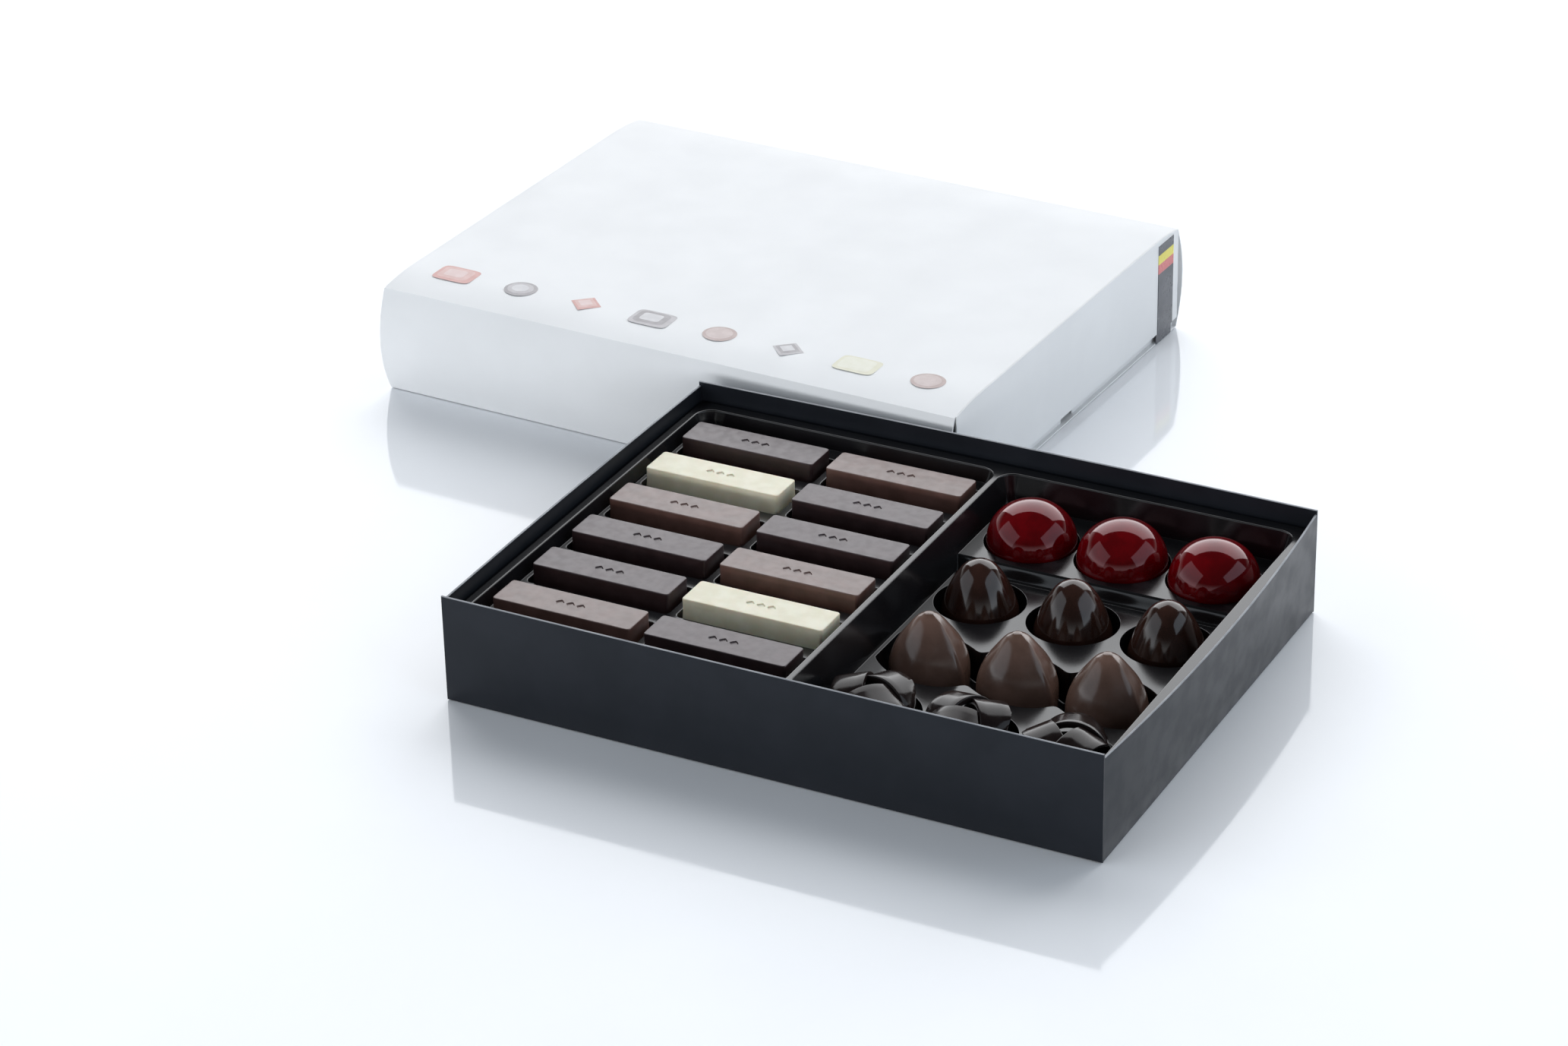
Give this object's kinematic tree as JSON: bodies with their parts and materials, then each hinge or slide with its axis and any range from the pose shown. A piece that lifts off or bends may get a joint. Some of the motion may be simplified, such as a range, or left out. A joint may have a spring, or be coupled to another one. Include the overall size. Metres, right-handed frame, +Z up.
{
  "type": "box of chocolates",
  "caption": "Open black tray of bars and pralines in a glossy moulded insert, with its white carton sleeve standing behind it.",
  "frame": {"origin": "centre of the tray's floor, on the surface it stands on", "axes": "+X along the tray's long side towards the pralines, +Y to the back where the sleeve stands, +Z up"},
  "size_m": [0.3507, 0.3506, 0.0396],
  "materials": {
    "black_card": "satin black card",
    "black_sheet": "glossy thermoformed sheet",
    "dark_chocolate": "satin dark chocolate",
    "milk_chocolate": "satin milk chocolate",
    "white_chocolate": "satin white chocolate",
    "red_glaze": "glossy red glaze",
    "dark_praline": "polished dark chocolate",
    "milk_praline": "polished milk chocolate",
    "white_board": "coated white board",
    "label_black": "printed paper label"
  },
  "bodies": {
    "tray_body": {"tray": "black_card"},
    "insert_body": {"insert": "black_sheet"},
    "bar_left_1_body": {"bar_left_1": "dark_chocolate"},
    "bar_left_2_body": {"bar_left_2": "white_chocolate"},
    "bar_left_3_body": {"bar_left_3": "milk_chocolate"},
    "bar_left_4_body": {"bar_left_4": "dark_chocolate"},
    "bar_left_5_body": {"bar_left_5": "dark_chocolate"},
    "bar_left_6_body": {"bar_left_6": "milk_chocolate"},
    "bar_right_1_body": {"bar_right_1": "milk_chocolate"},
    "bar_right_2_body": {"bar_right_2": "dark_chocolate"},
    "bar_right_3_body": {"bar_right_3": "dark_chocolate"},
    "bar_right_4_body": {"bar_right_4": "milk_chocolate"},
    "bar_right_5_body": {"bar_right_5": "white_chocolate"},
    "bar_right_6_body": {"bar_right_6": "dark_chocolate"},
    "dome_1_body": {"dome_1": "red_glaze"},
    "dome_2_body": {"dome_2": "red_glaze"},
    "dome_3_body": {"dome_3": "red_glaze"},
    "egg_1_body": {"egg_1": "dark_praline"},
    "egg_2_body": {"egg_2": "dark_praline"},
    "egg_3_body": {"egg_3": "dark_praline"},
    "teardrop_1_body": {"teardrop_1": "milk_praline"},
    "teardrop_2_body": {"teardrop_2": "milk_praline"},
    "teardrop_3_body": {"teardrop_3": "milk_praline"},
    "knot_1_body": {"knot_1": "dark_chocolate"},
    "knot_2_body": {"knot_2": "dark_chocolate"},
    "knot_3_body": {"knot_3": "dark_chocolate"},
    "sleeve_body": {"sleeve": "white_board", "seal_tail": "label_black"},
    "flap_body": {"end_flap": "white_board", "seal_label": "label_black"}
  },
  "joints": [
    {"name": "insert_lift", "type": "slide", "parent": "tray_body", "child": "insert_body", "axis": [0, 0, 1], "range_m": [0, 0.045]},
    {"name": "bar_left_1_lift", "type": "slide", "parent": "insert_body", "child": "bar_left_1_body", "axis": [0, 0, 1], "range_m": [0, 0.04]},
    {"name": "bar_left_2_lift", "type": "slide", "parent": "insert_body", "child": "bar_left_2_body", "axis": [0, 0, 1], "range_m": [0, 0.04]},
    {"name": "bar_left_3_lift", "type": "slide", "parent": "insert_body", "child": "bar_left_3_body", "axis": [0, 0, 1], "range_m": [0, 0.04]},
    {"name": "bar_left_4_lift", "type": "slide", "parent": "insert_body", "child": "bar_left_4_body", "axis": [0, 0, 1], "range_m": [0, 0.04]},
    {"name": "bar_left_5_lift", "type": "slide", "parent": "insert_body", "child": "bar_left_5_body", "axis": [0, 0, 1], "range_m": [0, 0.04]},
    {"name": "bar_left_6_lift", "type": "slide", "parent": "insert_body", "child": "bar_left_6_body", "axis": [0, 0, 1], "range_m": [0, 0.04]},
    {"name": "bar_right_1_lift", "type": "slide", "parent": "insert_body", "child": "bar_right_1_body", "axis": [0, 0, 1], "range_m": [0, 0.04]},
    {"name": "bar_right_2_lift", "type": "slide", "parent": "insert_body", "child": "bar_right_2_body", "axis": [0, 0, 1], "range_m": [0, 0.04]},
    {"name": "bar_right_3_lift", "type": "slide", "parent": "insert_body", "child": "bar_right_3_body", "axis": [0, 0, 1], "range_m": [0, 0.04]},
    {"name": "bar_right_4_lift", "type": "slide", "parent": "insert_body", "child": "bar_right_4_body", "axis": [0, 0, 1], "range_m": [0, 0.04]},
    {"name": "bar_right_5_lift", "type": "slide", "parent": "insert_body", "child": "bar_right_5_body", "axis": [0, 0, 1], "range_m": [0, 0.04]},
    {"name": "bar_right_6_lift", "type": "slide", "parent": "insert_body", "child": "bar_right_6_body", "axis": [0, 0, 1], "range_m": [0, 0.04]},
    {"name": "dome_1_lift", "type": "slide", "parent": "insert_body", "child": "dome_1_body", "axis": [0, 0, 1], "range_m": [0, 0.04]},
    {"name": "dome_2_lift", "type": "slide", "parent": "insert_body", "child": "dome_2_body", "axis": [0, 0, 1], "range_m": [0, 0.04]},
    {"name": "dome_3_lift", "type": "slide", "parent": "insert_body", "child": "dome_3_body", "axis": [0, 0, 1], "range_m": [0, 0.04]},
    {"name": "egg_1_lift", "type": "slide", "parent": "insert_body", "child": "egg_1_body", "axis": [0, 0, 1], "range_m": [0, 0.04]},
    {"name": "egg_2_lift", "type": "slide", "parent": "insert_body", "child": "egg_2_body", "axis": [0, 0, 1], "range_m": [0, 0.04]},
    {"name": "egg_3_lift", "type": "slide", "parent": "insert_body", "child": "egg_3_body", "axis": [0, 0, 1], "range_m": [0, 0.04]},
    {"name": "teardrop_1_lift", "type": "slide", "parent": "insert_body", "child": "teardrop_1_body", "axis": [0, 0, 1], "range_m": [0, 0.04]},
    {"name": "teardrop_2_lift", "type": "slide", "parent": "insert_body", "child": "teardrop_2_body", "axis": [0, 0, 1], "range_m": [0, 0.04]},
    {"name": "teardrop_3_lift", "type": "slide", "parent": "insert_body", "child": "teardrop_3_body", "axis": [0, 0, 1], "range_m": [0, 0.04]},
    {"name": "knot_1_lift", "type": "slide", "parent": "insert_body", "child": "knot_1_body", "axis": [0, 0, 1], "range_m": [0, 0.04]},
    {"name": "knot_2_lift", "type": "slide", "parent": "insert_body", "child": "knot_2_body", "axis": [0, 0, 1], "range_m": [0, 0.04]},
    {"name": "knot_3_lift", "type": "slide", "parent": "insert_body", "child": "knot_3_body", "axis": [0, 0, 1], "range_m": [0, 0.04]},
    {"name": "sleeve_draw", "type": "slide", "parent": "tray_body", "child": "sleeve_body", "axis": [-0.9992, 0.0391, 0], "range_m": [0, 0.2]},
    {"name": "end_flap_hinge", "type": "hinge", "parent": "sleeve_body", "child": "flap_body", "pos_m": [-0.01518, 0.1715, 0.0396], "axis": [-0.0391, -0.9992, 0], "range_deg": [0, 170]}
  ]
}
